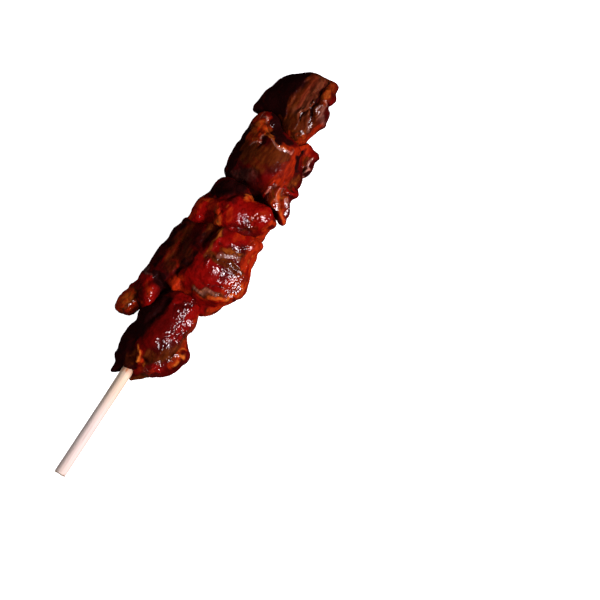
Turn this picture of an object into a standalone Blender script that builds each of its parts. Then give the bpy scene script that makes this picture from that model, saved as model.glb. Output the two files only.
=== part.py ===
"""Beef kebab skewer lying on its side: a round wooden stick carrying six pieces of marinated beef.

Frame: metres, +Z up, +X along the stick from the handle end to the tip, +Y to the left of the stick.
Each piece of beef is a cluster of rounded lumps melted together, pressed against its neighbour,
bored for the stick and flattened where it rests on the table.
"""

import math

import bmesh
import bpy
from mathutils import Euler, Matrix, Vector

MM = 0.001

# Driving dimensions
STICK_LENGTH = 200 * MM
STICK_RADIUS = 2.5 * MM
STICK_POINT = 14 * MM        # length of the sharpened tip
STICK_TIP_RADIUS = 0.6 * MM
STICK_EDGE = 0.35 * MM       # broken edge at the handle end
STICK_SIDES = 24
STICK_HEIGHT = 12.3 * MM     # stick axis above the table
HANDLE_LENGTH = 47.3 * MM    # bare stick before the beef starts
GAP = 0.35 * MM              # clearance between pieces, and between beef and stick
SHARP_ANGLE = 40             # degrees; edges of the stick steeper than this stay crisp
BORE_RUN_OUT = 10 * MM       # how far the bore cutter reaches past the handle end
TABLE_CUTTER_DEPTH = 40 * MM

# How finely the beef is modelled
MELT_SIZE = 1.6 * MM         # voxel that melts the lumps of a piece into one body
SOFTEN_FACTOR = 0.5
SOFTEN_STEPS = 5
KEEP_SHARE = 0.31            # share of the melted surface's triangles that is kept
LUMP_DETAIL = 4              # subdivisions of a lump's ball

# Each piece of beef is a list of named lumps, in millimetres:
# (along the stick from where the beef starts, left of it, above it), (half length, half width, half height),
# and the turn about the vertical in degrees
BEEF = {
    "beef_1": {
        "core": ((24, -2.5, -1), (19, 10.5, 12.5), 2),
        "belly": ((18.5, -8.5, -1), (11.5, 10, 11), -8),
        "belly_end": ((13, -5.5, -2), (7.5, 9, 9), 20),
        "shoulder": ((16.5, 3.5, -2), (12.5, 6.8, 10), 0),
        "back": ((35, -3, -1), (13, 10.5, 11.5), -4),
        "ragged_tag": ((3.5, 4.6, -1.5), (3.6, 2.2, 3.5), -15),
        "cut_end": ((6.5, -2.5, -4), (4.5, 4.5, 6), -20),
    },
    "beef_2": {
        "core": ((62, -4.5, 1), (20.5, 15.5, 14), 0),
        "belly": ((58.5, -14, -1), (13.5, 9.5, 10.5), -12),
        "belly_end": ((73, -12, -2), (12, 8.5, 10), 18),
        "shaded_side": ((53, 7.5, -1), (16, 11, 11.5), 2),
        "shaded_end": ((65, 7, -2), (11, 10.8, 11.5), -12),
        "lip": ((49, -11, 3), (4.2, 9, 9), 12),
        "finger_root": ((42, 10.5, 1.5), (9.5, 7.5, 9), -10),
        "finger_tip": ((29.5, 15.4, 0), (6.6, 5.6, 6.5), -14),
        "finger_knuckle": ((36.5, 9.6, 6), (6.6, 4.4, 5.5), 22),
    },
    "beef_3": {
        "core": ((84, -1, 0), (12.5, 13, 13.5), 0),
        "shaded_side": ((81, 7.5, -2), (10.5, 8.3, 10.5), 0),
        "shaded_end": ((93, 6, -2), (7, 7.6, 11), -8),
        "bright_knob": ((89, -10, 0), (8.8, 9, 11.5), -6),
        "low_knob": ((83, -9, -4), (7, 8, 9), 0),
    },
    "beef_4": {
        "core": ((114, -2, 0), (17, 13.5, 14), 0),
        "shaded_side": ((111, 6, -2), (15, 9.3, 11), 2),
        "fatty_end": ((126, 6.5, -1), (9.5, 8.6, 12), 0),
        "belly": ((113, -10.5, -3), (11, 8.2, 10), -4),
        "flap_root": ((106, -11.5, 1), (9.5, 7.6, 8.5), 30),
        "flap": ((100.5, -15.5, 0.5), (9, 4.6, 6.5), 38),
        "flap_tip": ((96, -19.6, -1), (4.8, 2.3, 4.4), 40),
    },
    "beef_5": {
        "threaded_part": ((128, -3, -1), (4.2, 8.5, 9), 0),
        "hanging_part": ((126.5, -11, -4), (5.5, 6, 7), 20),
        "loose_lobe": ((122, -15.6, -4), (6.6, 4, 5.5), 4),
    },
    "beef_6": {
        "core": ((144, 1.5, 0), (14, 12.5, 13.5), 0),
        "shaded_corner": ((139, 9, 0), (8.2, 8.4, 10), 0),
        "corner_tip": ((133.6, 14.6, 1), (3.4, 3.2, 4.5), 30),
        "shaded_face": ((145.5, 5.8, -1), (11.8, 10, 10.5), -12),
        "end_face": ((152, -1, 0), (8.2, 10, 12.3), 0),
        "end_corner": ((156, -5.5, 0), (5.2, 5.2, 7.5), 30),
        "folds": ((143, -6, 3), (13.5, 7.2, 9.5), 0),
        "lower_fold": ((142, -8.5, 0), (8.5, 5.2, 9), -14),
        "hanging_corner": ((132, -5, 3), (7, 7, 8.5), 0),
    },
}

# A piece is hollowed where the pieces after it press into it.
PRESSED_BY = {
    "beef_1": ("beef_2",),
    "beef_2": ("beef_3",),
    "beef_3": ("beef_4",),
    "beef_4": ("beef_5", "beef_6"),
    "beef_5": ("beef_6",),
    "beef_6": (),
}

# Pieces whose brown beef shows through the marinade; the others are red with it.
BROWNED = ("beef_4", "beef_6")

# Colour, roughness and metallic value
FINISHES = {
    "glazed_beef": ((0.17, 0.02, 0.01, 1), 0.25, 0.0),
    "browned_beef": ((0.2, 0.055, 0.02, 1), 0.3, 0.0),
    "pale_wood": ((0.8, 0.68, 0.54, 1), 0.6, 0.0),
}


def clear_scene():
    for obj in list(bpy.data.objects):
        bpy.data.objects.remove(obj)


def finish(name):
    """The Principled material of one finish, made once."""
    material = bpy.data.materials.get(name)
    if material is None:
        colour, roughness, metallic = FINISHES[name]
        material = bpy.data.materials.new(name)
        material.use_nodes = True
        shader = material.node_tree.nodes["Principled BSDF"]
        shader.inputs["Base Color"].default_value = colour
        shader.inputs["Roughness"].default_value = roughness
        shader.inputs["Metallic"].default_value = metallic
    return material


def add_object(name, work, finish_name=None):
    """An object in the scene from a bmesh, which is used up."""
    mesh = bpy.data.meshes.new(name)
    work.to_mesh(mesh)
    work.free()
    obj = bpy.data.objects.new(name, mesh)
    bpy.context.scene.collection.objects.link(obj)
    if finish_name:
        mesh.materials.append(finish(finish_name))
    return obj


def as_helper(obj):
    """A cutter isn't part of the kebab."""
    obj.hide_render = True
    obj.display_type = "WIRE"
    return obj


def turned_body(work, profile, sides):
    """Spins (along, radius) pairs about the X axis and closes both ends."""
    rings = []
    for along, radius in profile:
        ring = []
        for side in range(sides):
            angle = 2 * math.pi * side / sides
            ring.append(work.verts.new((along, radius * math.cos(angle), radius * math.sin(angle))))
        rings.append(ring)
    for first, second in zip(rings, rings[1:]):
        for side in range(sides):
            after = (side + 1) % sides
            work.faces.new((first[side], first[after], second[after], second[side]))
    work.faces.new(rings[0])
    work.faces.new(reversed(rings[-1]))
    bmesh.ops.recalc_face_normals(work, faces=work.faces)


def make_stick():
    """Round stick with a broken edge at the handle end and a sharpened tip."""
    profile = [
        (0, STICK_RADIUS - STICK_EDGE),
        (STICK_EDGE, STICK_RADIUS),
        (STICK_LENGTH - STICK_POINT, STICK_RADIUS),
        (STICK_LENGTH, STICK_TIP_RADIUS),
    ]
    work = bmesh.new()
    turned_body(work, profile, STICK_SIDES)
    stick = add_object("stick", work, "pale_wood")
    stick.location.z = STICK_HEIGHT
    stick.data.shade_smooth()
    stick.data.set_sharp_from_angle(angle=math.radians(SHARP_ANGLE))
    return stick


def make_bore_cutter():
    """The stick's shape with its clearance, which bores the beef."""
    radius = STICK_RADIUS + GAP
    profile = [
        (-BORE_RUN_OUT, radius),
        (STICK_LENGTH - STICK_POINT, radius),
        (STICK_LENGTH + GAP, STICK_TIP_RADIUS + GAP),
    ]
    work = bmesh.new()
    turned_body(work, profile, STICK_SIDES)
    cutter = as_helper(add_object("bore_cutter", work))
    cutter.location.z = STICK_HEIGHT
    return cutter


def make_table_cutter():
    """Everything below the table top."""
    width = 2 * STICK_LENGTH
    middle = Matrix.Translation((STICK_LENGTH / 2, 0, -TABLE_CUTTER_DEPTH / 2))
    stretch = Matrix.Diagonal((width, width, TABLE_CUTTER_DEPTH, 1))
    work = bmesh.new()
    bmesh.ops.create_cube(work, size=1, matrix=middle @ stretch)
    return as_helper(add_object("table_cutter", work))


def add_lump(work, centre, halves, turn):
    """A rounded lump: a ball stretched to its half sizes, turned about the vertical."""
    beef_start = Vector((HANDLE_LENGTH, 0, STICK_HEIGHT))
    place = (
        Matrix.Translation(beef_start + Vector(centre) * MM)
        @ Euler((0, 0, math.radians(turn))).to_matrix().to_4x4()
        @ Matrix.Diagonal(tuple(Vector(halves) * MM) + (1,))
    )
    bmesh.ops.create_icosphere(work, subdivisions=LUMP_DETAIL, radius=1, matrix=place)


def melt(obj):
    """Joins the overlapping lumps into one soft body of few triangles."""
    join = obj.modifiers.new("join lumps", "REMESH")
    join.mode = "VOXEL"
    join.voxel_size = MELT_SIZE
    soften = obj.modifiers.new("soften", "SMOOTH")
    soften.factor = SOFTEN_FACTOR
    soften.iterations = SOFTEN_STEPS
    thin = obj.modifiers.new("thin out", "DECIMATE")
    thin.ratio = KEEP_SHARE


def cut(obj, cutter, name):
    boolean = obj.modifiers.new(name, "BOOLEAN")
    boolean.operation = "DIFFERENCE"
    boolean.object = cutter


def make_lumps(name, lumps, finish_name=None):
    work = bmesh.new()
    for centre, halves, turn in lumps.values():
        add_lump(work, centre, halves, turn)
    obj = add_object(name, work, finish_name)
    melt(obj)
    return obj


def make_press(name):
    """A piece grown by the clearance, which dents its neighbour."""
    press = as_helper(make_lumps(name + "_press", BEEF[name]))
    grow = press.modifiers.new("grow", "DISPLACE")
    grow.mid_level = 0
    grow.strength = GAP
    return press


def make_beef(bore_cutter, table_cutter):
    pressing = {name for others in PRESSED_BY.values() for name in others}
    presses = {name: make_press(name) for name in sorted(pressing)}
    pieces = []
    for name, lumps in BEEF.items():
        piece = make_lumps(name, lumps, "browned_beef" if name in BROWNED else "glazed_beef")
        for other in PRESSED_BY[name]:
            cut(piece, presses[other], "pressed by " + other)
        cut(piece, bore_cutter, "bore for the stick")
        cut(piece, table_cutter, "flat on the table")
        piece.data.shade_smooth()
        pieces.append(piece)
    return pieces


def centre_on_footprint(objects, helpers):
    """Parents everything to one empty, with the origin at the bottom centre of the whole kebab."""
    bpy.context.view_layer.update()
    graph = bpy.context.evaluated_depsgraph_get()
    corners = []
    for obj in objects:
        evaluated = obj.evaluated_get(graph)
        corners += [evaluated.matrix_world @ vertex.co for vertex in evaluated.data.vertices]
    low = Vector(min(corner[axis] for corner in corners) for axis in range(3))
    high = Vector(max(corner[axis] for corner in corners) for axis in range(3))
    kebab = bpy.data.objects.new("kebab", None)
    bpy.context.scene.collection.objects.link(kebab)
    kebab.location = (-(low.x + high.x) / 2, -(low.y + high.y) / 2, -low.z)
    for obj in objects + helpers:
        obj.parent = kebab


def main():
    clear_scene()
    stick = make_stick()
    bore_cutter = make_bore_cutter()
    table_cutter = make_table_cutter()
    pieces = make_beef(bore_cutter, table_cutter)
    helpers = [obj for obj in bpy.data.objects if obj.hide_render]
    centre_on_footprint([stick] + pieces, helpers)


main()
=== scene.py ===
import math

import bpy
import numpy as np
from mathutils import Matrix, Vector


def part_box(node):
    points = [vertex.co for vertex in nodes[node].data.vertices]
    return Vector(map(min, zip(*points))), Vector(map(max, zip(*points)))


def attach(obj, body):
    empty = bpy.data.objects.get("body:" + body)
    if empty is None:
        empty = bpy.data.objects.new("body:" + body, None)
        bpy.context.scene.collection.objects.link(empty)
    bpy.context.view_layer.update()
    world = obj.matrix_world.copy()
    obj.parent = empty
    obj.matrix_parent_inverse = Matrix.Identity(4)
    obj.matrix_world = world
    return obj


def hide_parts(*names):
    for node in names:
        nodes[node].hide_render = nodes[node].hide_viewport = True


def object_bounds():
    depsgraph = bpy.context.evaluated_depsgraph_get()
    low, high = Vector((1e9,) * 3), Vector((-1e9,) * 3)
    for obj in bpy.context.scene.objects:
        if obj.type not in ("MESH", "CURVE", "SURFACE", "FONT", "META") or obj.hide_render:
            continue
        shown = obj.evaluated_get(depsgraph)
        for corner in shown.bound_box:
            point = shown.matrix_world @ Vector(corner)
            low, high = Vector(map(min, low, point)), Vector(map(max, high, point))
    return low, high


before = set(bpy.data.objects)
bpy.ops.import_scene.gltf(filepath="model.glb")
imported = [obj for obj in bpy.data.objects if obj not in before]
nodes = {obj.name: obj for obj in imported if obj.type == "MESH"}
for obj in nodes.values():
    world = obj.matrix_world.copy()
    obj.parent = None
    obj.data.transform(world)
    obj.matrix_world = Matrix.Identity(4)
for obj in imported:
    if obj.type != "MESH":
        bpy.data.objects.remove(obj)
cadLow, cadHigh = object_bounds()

mm = 0.001
print("frame loaded, nodes:", ", ".join(sorted(nodes)))

# Places are in millimetres: along the stick from just inside its handle end, left of its axis, above its axis
stickLow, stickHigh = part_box("stick")
markStart = Vector((stickLow.x + 1.3 * mm, (stickLow.y + stickHigh.y) / 2, (stickLow.z + stickHigh.z) / 2))
stickRadius = (stickHigh.y - stickLow.y) / 2

camera = {
    "place": (-19.74, -127.62, 584.30),
    "aim": (113.90, -46.05, 0),
    "lens": 85,
    "sensor": 36,
}


def place(along, left, above=0.0):
    return markStart + Vector((along, left, above)) * mm


def deselectAll():
    for obj in bpy.context.selected_objects:
        obj.select_set(False)


def choose(obj):
    deselectAll()
    obj.select_set(True)
    bpy.context.view_layer.objects.active = obj


def applyModifier(obj, modifier):
    choose(obj)
    bpy.ops.object.modifier_apply(modifier=modifier.name)


def settle(obj):
    choose(obj)
    bpy.ops.object.transform_apply(location=True, rotation=True, scale=True)


def joinInto(obj, others):
    choose(obj)
    for other in others:
        other.select_set(True)
    bpy.ops.object.join()


def pointsOf(obj):
    count = len(obj.data.vertices)
    points = np.empty(count * 3)
    obj.data.vertices.foreach_get("co", points)
    return points.reshape(-1, 3)


def normalsOf(obj):
    count = len(obj.data.vertices)
    normals = np.empty(count * 3)
    obj.data.vertices.foreach_get("normal", normals)
    return normals.reshape(-1, 3)


def movePoints(obj, points):
    obj.data.vertices.foreach_set("co", points.ravel())
    obj.data.update()


def paintAttribute(obj, name, values):
    attribute = obj.data.attributes.get(name) or obj.data.attributes.new(name, "FLOAT", "POINT")
    attribute.data.foreach_set("value", np.clip(values, 0, 1).astype(np.float32))


def paintGroup(obj, name, values):
    group = obj.vertex_groups.new(name=name)
    for index in np.nonzero(values > 0.01)[0]:
        group.add([int(index)], float(values[index]), "REPLACE")
    return name


def ripple(points, size, seed, waves=9):
    rng = np.random.default_rng(seed)  # a soft random field from a few sine waves of one length
    total = np.zeros(len(points))
    for _ in range(waves):
        direction = rng.normal(size=3)
        direction *= 2 * math.pi / (size * mm) / np.linalg.norm(direction)
        total += np.sin(points @ direction + rng.uniform(0, 2 * math.pi))
    return total / math.sqrt(waves / 2)


def soften(values):
    values = np.clip(values, 0, 1)
    return values * values * (3 - 2 * values)


def asSeen(points):
    # where each point shows on the plane of the stick's axis, looking from the camera
    eye = np.array(camera["place"]) * mm
    rel = points - np.array(markStart)
    spread = eye[2] / (eye[2] - rel[:, 2:])
    return (eye[:2] + (rel[:, :2] - eye[:2]) * spread) / mm


def shownShare(points, normals, slope=2.5, start=0.2):
    # 1 where the surface faces the camera, fading to 0 where it turns away
    eye = np.array(markStart) + np.array(camera["place"]) * mm
    toEye = eye - points
    toEye /= np.linalg.norm(toEye, axis=1)[:, None]
    return soften((normals * toEye).sum(1) * slope + start)


def nearLine(seen, line):
    # distance to a given line, which side of it, and how far along it from 0 to 1
    line = np.array(line, float)
    if len(line) == 1:
        gap = np.linalg.norm(seen - line[0], axis=1)
        return gap, gap, np.full(len(seen), 0.5)
    lengths = np.linalg.norm(np.diff(line, axis=0), axis=1)
    run = np.concatenate(([0], np.cumsum(lengths))) / lengths.sum()
    best = np.full(len(seen), 1e9)
    side = np.zeros(len(seen))
    share = np.zeros(len(seen))
    for start, end, low, high in zip(line[:-1], line[1:], run[:-1], run[1:]):
        step = end - start
        rel = seen - start
        t = np.clip(rel @ step / (step @ step), 0, 1)
        off = rel - t[:, None] * step
        gap = np.linalg.norm(off, axis=1)
        closer = gap < best
        best = np.where(closer, gap, best)
        turn = step[0] * rel[:, 1] - step[1] * rel[:, 0]
        side = np.where(closer, np.sign(turn) * gap, side)
        share = np.where(closer, low + t * (high - low), share)
    return best, side, share


def fade(share, ends=0.18):
    return soften(np.minimum(share, 1 - share) / ends + 0.15)


def brush(seen, strokes):
    total = np.zeros(len(seen))
    for line, width, strength in strokes:
        gap, _, _ = nearLine(seen, line)
        total = np.maximum(total, strength * soften(1.6 - 1.6 * gap / width))
    return total


def seamsOf(points, turn, size, seed):
    # thin winding lines where a soft random field changes sign, drawn out along the grain
    angle = math.radians(turn)
    along = points[:, 0] * math.cos(angle) + points[:, 1] * math.sin(angle)
    across = points[:, 1] * math.cos(angle) - points[:, 0] * math.sin(angle)
    stretched = np.stack([along * 0.3, across, points[:, 2]], 1)
    return np.exp(-((ripple(stretched, size, seed) / 0.3) ** 2))


def grab(obj, marks):
    # pull whatever shows round a spot, top and underside together
    points = pointsOf(obj)
    for spot, radius, move in marks:
        gap = np.linalg.norm(asSeen(points) - np.array(spot), axis=1)
        points += soften(1.25 - 1.25 * gap / radius)[:, None] * np.array(move) * mm
    movePoints(obj, points)


def sculpt(obj, look):
    points = pointsOf(obj)
    normals = normalsOf(obj)
    facing = shownShare(points, normals, 3, 0.3)
    seen = asSeen(points)  # the marks wander a little, so that no line is drawn too straight
    wobble = np.stack([ripple(points, 7, 31), ripple(points, 7, 32)], 1)
    wobble += 0.5 * np.stack([ripple(points, 3, 33), ripple(points, 3, 34)], 1)
    seen = seen + wobble * 0.35
    lift = np.zeros(len(points))
    for line, width, depth in look.get("creases", ()):
        gap, _, share = nearLine(seen, line)
        cut = np.exp(-((gap / width) ** 2)) - 0.4 * np.exp(-(((gap - 2.1 * width) / width) ** 2))
        lift -= depth * cut * fade(share)
    for line, width, height in look.get("ridges", ()):
        gap, _, share = nearLine(seen, line)
        lift += height * np.exp(-((gap / width) ** 2)) * fade(share)
    for line, width, height in look.get("laps", ()):
        gap, side, share = nearLine(seen, line)  # what is left of the line lies over what is right of it
        over = np.exp(-np.clip(side, 0, None) / (2.2 * width))
        under = -0.6 * np.exp(np.clip(side, None, 0) / width)
        step = 0.5 + 0.5 * np.tanh(side / (0.25 * width))
        lift += height * (over * step + under * (1 - step)) * fade(share)
    lift *= facing
    lift -= look["seams"] * seamsOf(points, look["grainTurn"], 9, look["seed"]) * (1.0 - 0.75 * facing)
    points += normals * (lift * mm)[:, None]
    movePoints(obj, points)


def addGuide(spot, turn, stretch):
    # an empty whose long axis draws a texture out along the grain
    bpy.ops.object.empty_add(location=spot, rotation=(0, 0, math.radians(turn)))
    guide = bpy.context.active_object
    guide.scale = (stretch, 1, 1)
    bpy.context.view_layer.update()
    return guide


def roughen(obj, kind, size, depth, group="", guide=None, **settings):
    texture = bpy.data.textures.new("roughness", kind)
    if kind == "CLOUDS":
        texture.noise_basis = "IMPROVED_PERLIN"
    for name, value in settings.items():
        setattr(texture, name, value)
    texture.noise_scale = size * mm
    modifier = obj.modifiers.new("roughen", "DISPLACE")
    modifier.texture = texture
    modifier.strength = depth * mm
    modifier.mid_level = 0.5
    if group:
        modifier.vertex_group = group
    if guide:
        modifier.texture_coords = "OBJECT"
        modifier.texture_coords_object = guide
    applyModifier(obj, modifier)
    bpy.data.textures.remove(texture)


def hollowsOf(obj, rounds):
    # how far each point lies below the smoothed surface around it, in millimetres
    count = len(obj.data.vertices)
    edges = np.empty(len(obj.data.edges) * 2, np.int64)
    obj.data.edges.foreach_get("vertices", edges)
    edges = edges.reshape(-1, 2)
    both = np.concatenate((edges, edges[:, ::-1]))
    links = np.bincount(both[:, 0], minlength=count)
    points = pointsOf(obj)
    smooth = points.copy()
    for _ in range(rounds):
        total = np.stack([np.bincount(both[:, 0], smooth[both[:, 1], axis], count) for axis in range(3)], 1)
        smooth = total / links[:, None]
    return ((smooth - points) * normalsOf(obj)).sum(1) / mm


def addLump(centre, halves, turn):
    bpy.ops.mesh.primitive_ico_sphere_add(subdivisions=4, radius=1, location=place(*centre))
    lump = bpy.context.active_object
    lump.scale = Vector(halves) * mm
    lump.rotation_euler.z = math.radians(turn)
    settle(lump)
    return lump


def addPlug(low, high, radius):
    bpy.ops.mesh.primitive_cylinder_add(vertices=32, radius=radius * mm, depth=(high - low) * mm,
                                        location=place((low + high) / 2, 0), rotation=(0, math.pi / 2, 0))
    plug = bpy.context.active_object
    settle(plug)
    return plug


def remesh(obj, size, smoothing):
    modifier = obj.modifiers.new("skin", "REMESH")
    modifier.mode = "VOXEL"
    modifier.voxel_size = size * mm
    applyModifier(obj, modifier)
    modifier = obj.modifiers.new("soft", "SMOOTH")
    modifier.factor = 0.5
    modifier.iterations = smoothing
    applyModifier(obj, modifier)


beefBuild = {
    "joiningVoxel": 0.4,
    "shapingVoxel": 0.35,
    "unevenSize": 7,
    "fibreSize": 0.9,
    "fibreStretch": 5,
    "lumpSize": 2.0,
    "grainSize": 0.9,
    "crumpleSize": 0.75,
    "bubbleSize": 1.2,
    "restHeight": 0.05,
    "hollowRounds": 60,
    "hollowScale": 0.9,
}


def paintBeef(beef, look):
    points = pointsOf(beef)
    seen = asSeen(points) + np.stack([ripple(points, 5, 41), ripple(points, 5, 42)], 1) * 0.5
    facing = shownShare(points, normalsOf(beef))
    hidden = {  # random patches where no mark reaches
        "dark": 0.6 * soften(0.35 + 0.6 * ripple(points, 14, 61)),
        "red": 0.8 * soften(0.3 + 0.6 * ripple(points, 12, 62)),
        "orangeAndLitEdge": 0.5 * soften(-0.3 + 0.7 * ripple(points, 9, 63)),
        "fat": 0.4 * soften(-0.9 + 0.8 * ripple(points, 7, 64)),
        "pale": np.zeros(len(points)),
        "brown": 0.5 * soften(0.3 + 0.6 * ripple(points, 15, 65)),
        "gloss": 0.7 * soften(0.2 + 0.6 * ripple(points, 9, 66) + 0.3 * ripple(points, 4, 67)),
    }
    for name, patches in hidden.items():
        paintAttribute(beef, name, brush(seen, look.get(name, ())) * facing + patches * (1 - facing))
    paintAttribute(beef, "hollow", hollowsOf(beef, beefBuild["hollowRounds"]) * beefBuild["hollowScale"])


def makeBeef(node, look):
    choose(nodes[node])
    bpy.ops.object.duplicate()
    beef = bpy.context.active_object
    beef.name = node + "_meat"
    choose(beef)
    bpy.ops.object.mode_set(mode="EDIT")
    bpy.ops.mesh.select_all(action="SELECT")
    bpy.ops.mesh.remove_doubles(threshold=0.00001)
    bpy.ops.object.mode_set(mode="OBJECT")
    extras = [addPlug(*look["plug"])]
    for lump in look.get("lumps", {}).values():
        extras.append(addLump(*lump))
    joinInto(beef, extras)
    remesh(beef, beefBuild["joiningVoxel"], look.get("smoothing", 10))
    grab(beef, look.get("grabs", ()))
    remesh(beef, beefBuild["shapingVoxel"], 3)
    sculpt(beef, look)
    roughen(beef, "CLOUDS", beefBuild["unevenSize"], look["uneven"], noise_depth=1)
    remesh(beef, look["voxel"], 2)

    points = pointsOf(beef)
    seen = asSeen(points)
    facing = shownShare(points, normalsOf(beef))
    fibre = paintGroup(beef, "fibre", brush(seen, look["fibre"]) * facing * 0.9 + 0.1)
    wetness = soften(0.5 + 0.5 * ripple(points, 9, 51) + 0.25 * ripple(points, 4, 52))
    wet = paintGroup(beef, "wet", np.maximum(wetness * 0.5, brush(seen, look["gloss"]) * facing))

    grain = addGuide(place(*look["grainAt"]), look["grainTurn"], beefBuild["fibreStretch"])
    roughen(beef, "CLOUDS", beefBuild["fibreSize"], look["fibreDepth"], fibre, grain, noise_depth=2)
    bpy.data.objects.remove(grain)
    roughen(beef, "CLOUDS", beefBuild["lumpSize"], look["lumpy"], noise_depth=1)
    roughen(beef, "CLOUDS", beefBuild["grainSize"], look["grainy"], noise_depth=1)
    roughen(beef, "CLOUDS", beefBuild["crumpleSize"], look["crumpled"], group=wet, noise_depth=0)
    roughen(beef, "VORONOI", beefBuild["bubbleSize"], look["bubbly"], group=wet, distance_metric="DISTANCE")

    points = pointsOf(beef)
    points[:, 2] = np.maximum(points[:, 2], beefBuild["restHeight"] * mm)
    movePoints(beef, points)
    paintBeef(beef, look)
    beef.vertex_groups.clear()
    beef.data.materials.clear()
    beef.data.materials.append(beefSkin)
    choose(beef)
    bpy.ops.object.shade_smooth()
    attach(beef, "root")
    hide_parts(node)
    print(node, "done,", len(beef.data.polygons), "faces")


def addNode(tree, kind, **values):
    made = tree.nodes.new(kind)
    for name, value in values.items():
        setattr(made, name, value)
    return made


def feed(tree, socket, value):
    if isinstance(value, bpy.types.NodeSocket):
        tree.links.new(value, socket)
    else:
        socket.default_value = value


def mixColours(tree, share, first, second):
    mix = addNode(tree, "ShaderNodeMix", data_type="RGBA")
    feed(tree, mix.inputs["Factor"], share)
    feed(tree, mix.inputs["A"], first)
    feed(tree, mix.inputs["B"], second)
    return mix.outputs["Result"]


def maths(tree, operation, first, second, clamp=False):
    node = addNode(tree, "ShaderNodeMath", operation=operation, use_clamp=clamp)
    feed(tree, node.inputs[0], first)
    feed(tree, node.inputs[1], second)
    return node.outputs[0]


def times(tree, first, second):
    return maths(tree, "MULTIPLY", first, second)


def plus(tree, first, second):
    return maths(tree, "ADD", first, second)


def attributeOf(tree, name):
    return addNode(tree, "ShaderNodeAttribute", attribute_name=name).outputs["Fac"]


def ranged(tree, value, low, high):
    spread = addNode(tree, "ShaderNodeMapRange", interpolation_type="SMOOTHSTEP")
    spread.inputs["From Min"].default_value = low
    spread.inputs["From Max"].default_value = high
    tree.links.new(value, spread.inputs["Value"])
    return spread.outputs["Result"]


def noiseAt(tree, coords, size, detail=3.0, stretch=(1, 1, 1), low=0.4, high=0.6):
    mapping = addNode(tree, "ShaderNodeMapping")
    mapping.inputs["Scale"].default_value = [value / (size * mm) for value in stretch]
    tree.links.new(coords, mapping.inputs["Vector"])
    noise = addNode(tree, "ShaderNodeTexNoise")
    noise.inputs["Scale"].default_value = 1
    noise.inputs["Detail"].default_value = detail
    tree.links.new(mapping.outputs["Vector"], noise.inputs["Vector"])
    return ranged(tree, noise.outputs["Fac"], low, high)


def bumpFrom(tree, height, strength, depth):
    bump = addNode(tree, "ShaderNodeBump")
    bump.inputs["Strength"].default_value = strength
    bump.inputs["Distance"].default_value = depth * mm
    tree.links.new(height, bump.inputs["Height"])
    return bump.outputs["Normal"]


beefLook = {
    "glaze": (0.080, 0.0012, 0.0009, 1),
    # a darker glaze, used for random patches and for painted shade in hollows
    "deepGlazeAndShade": (0.030, 0.0009, 0.0008, 1),
    "brightGlaze": (0.20, 0.0018, 0.0010, 1),
    "brown": (0.055, 0.0065, 0.0009, 1),
    "paleBrown": (0.11, 0.0185, 0.0025, 1),
    # orange for crust, and painted light along the lit lower edges
    "orangeAndLitEdge": (0.34, 0.0190, 0.0018, 1),
    "fat": (0.56, 0.1250, 0.0140, 1),
    # pale for painted sheen and highlight lines, and for a few pale fat bits
    "pale": (0.40, 0.17, 0.12, 1),
    # near-black for charred glaze and for painted shade on shaded sides and in gaps
    "charAndShade": (0.012, 0.0012, 0.0012, 1),
    "dryRoughness": 0.6,
    "wetRoughness": 0.4,
    "specular": 0.02,
    "leastCoat": 0.004,
    "coatRoughness": 0.06,
    "coatIor": 1.8,
    "fineBump": 0.02,
    "crinkleBump": 0.26,
    "patchSize": 9,
    "mottleSize": 2.4,
    "speckSize": 1.1,
    "strandSize": 1.3,
    "fineSize": 0.7,
    "crinkleSize": 1.5,
    "hollowShadeRange": (0.05, 0.55),
    "subsurface": 0.1,
    "subsurfaceRadius": (1.0, 0.2, 0.1),
    "subsurfaceScale": 1.2,
}


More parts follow.
